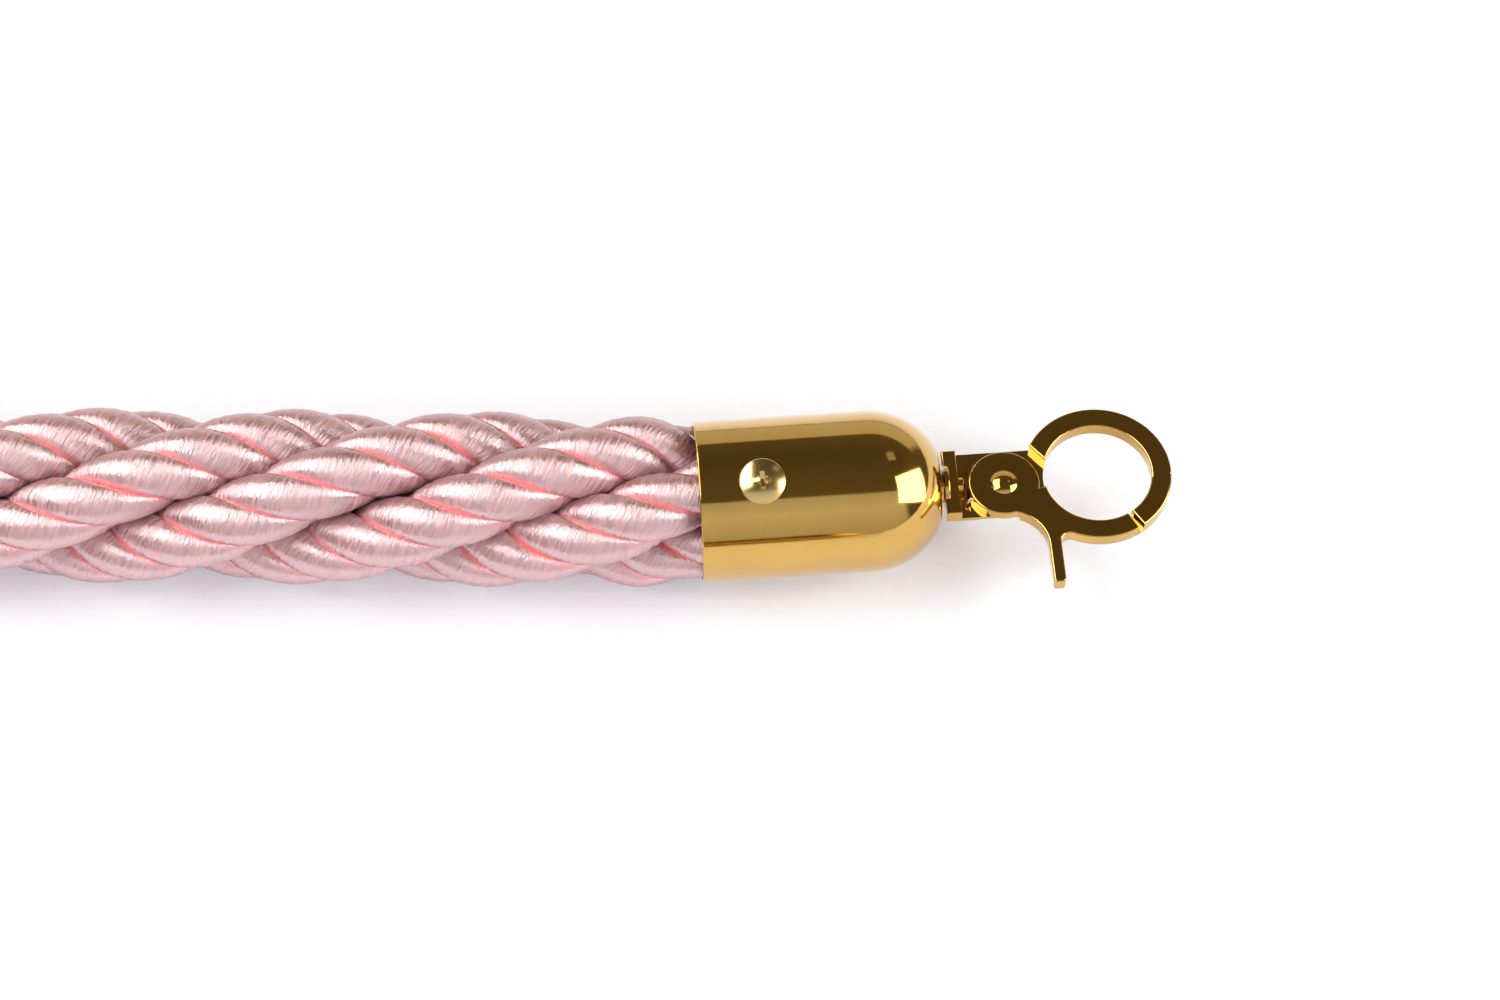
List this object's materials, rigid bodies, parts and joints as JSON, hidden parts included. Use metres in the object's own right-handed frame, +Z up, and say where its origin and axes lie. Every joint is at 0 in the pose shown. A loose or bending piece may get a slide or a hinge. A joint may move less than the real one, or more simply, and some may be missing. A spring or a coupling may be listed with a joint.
{
  "type": "twisted barrier rope",
  "caption": "Thick satin-wound twisted barrier rope with a domed brass end cap and a swivelling trigger snap hook on each end, folded once into a U.",
  "frame": {"origin": "on the floor under the middle of the two end fittings, half way between their cap mouths and hook tips", "axes": "+Z up, +X along both fittings from rope to hook tip, +Y from leg b to leg a"},
  "size_m": [0.6824, 0.3862, 0.0425],
  "materials": {
    "rope_satin": "satin filament wound round each cord, strong soft highlight along it",
    "binding_tape": "plain woven cotton tape",
    "cap_gold": "polished and lacquered gold plate with fine scratches",
    "hook_gold": "polished gold-plated casting with bright rounded edges",
    "screw_brass": "bright pale brass plate",
    "zinc_steel": "bright zinc plate",
    "spring_wire": "drawn spring wire"
  },
  "bodies": {
    "rope_with_caps": {"twisted_rope": "rope_satin", "end_cap_a": "cap_gold", "front_cap_screw_a": "screw_brass", "rear_cap_screw_a": "screw_brass", "rope_end_a": "rope_satin", "binding_tape_a": "binding_tape", "swivel_stud_a": "hook_gold", "backing_washer_a": "zinc_steel", "stud_nut_a": "zinc_steel", "end_cap_b": "cap_gold", "front_cap_screw_b": "screw_brass", "rear_cap_screw_b": "screw_brass", "rope_end_b": "rope_satin", "binding_tape_b": "binding_tape", "swivel_stud_b": "hook_gold", "backing_washer_b": "zinc_steel", "stud_nut_b": "zinc_steel"},
    "hook_a": {"hook_body_a": "hook_gold", "gate_rivet_a": "screw_brass", "gate_spring_a": "spring_wire"},
    "gate_a": {"hook_gate_a": "hook_gold"},
    "hook_b": {"hook_body_b": "hook_gold", "gate_rivet_b": "screw_brass", "gate_spring_b": "spring_wire"},
    "gate_b": {"hook_gate_b": "hook_gold"}
  },
  "joints": [
    {"name": "swivel_a", "type": "hinge", "parent": "rope_with_caps", "child": "hook_a", "pos_m": [0.00215, 0.1543, 0.02124], "axis": [1, 0, 0], "continuous": true},
    {"name": "gate_swing_a", "type": "hinge", "parent": "hook_a", "child": "gate_a", "pos_m": [0.01655, 0.1532, 0.02124], "axis": [0, 0, -1], "range_deg": [0, 28], "stiffness_Nm_per_rad": 0.15, "springref_deg": -20.05},
    {"name": "swivel_b", "type": "hinge", "parent": "rope_with_caps", "child": "hook_b", "pos_m": [0.00215, -0.1447, 0.02124], "axis": [1, 0, 0], "continuous": true},
    {"name": "gate_swing_b", "type": "hinge", "parent": "hook_b", "child": "gate_b", "pos_m": [0.01655, -0.1458, 0.02124], "axis": [0, 0, -1], "range_deg": [0, 28], "stiffness_Nm_per_rad": 0.15, "springref_deg": -20.05}
  ]
}
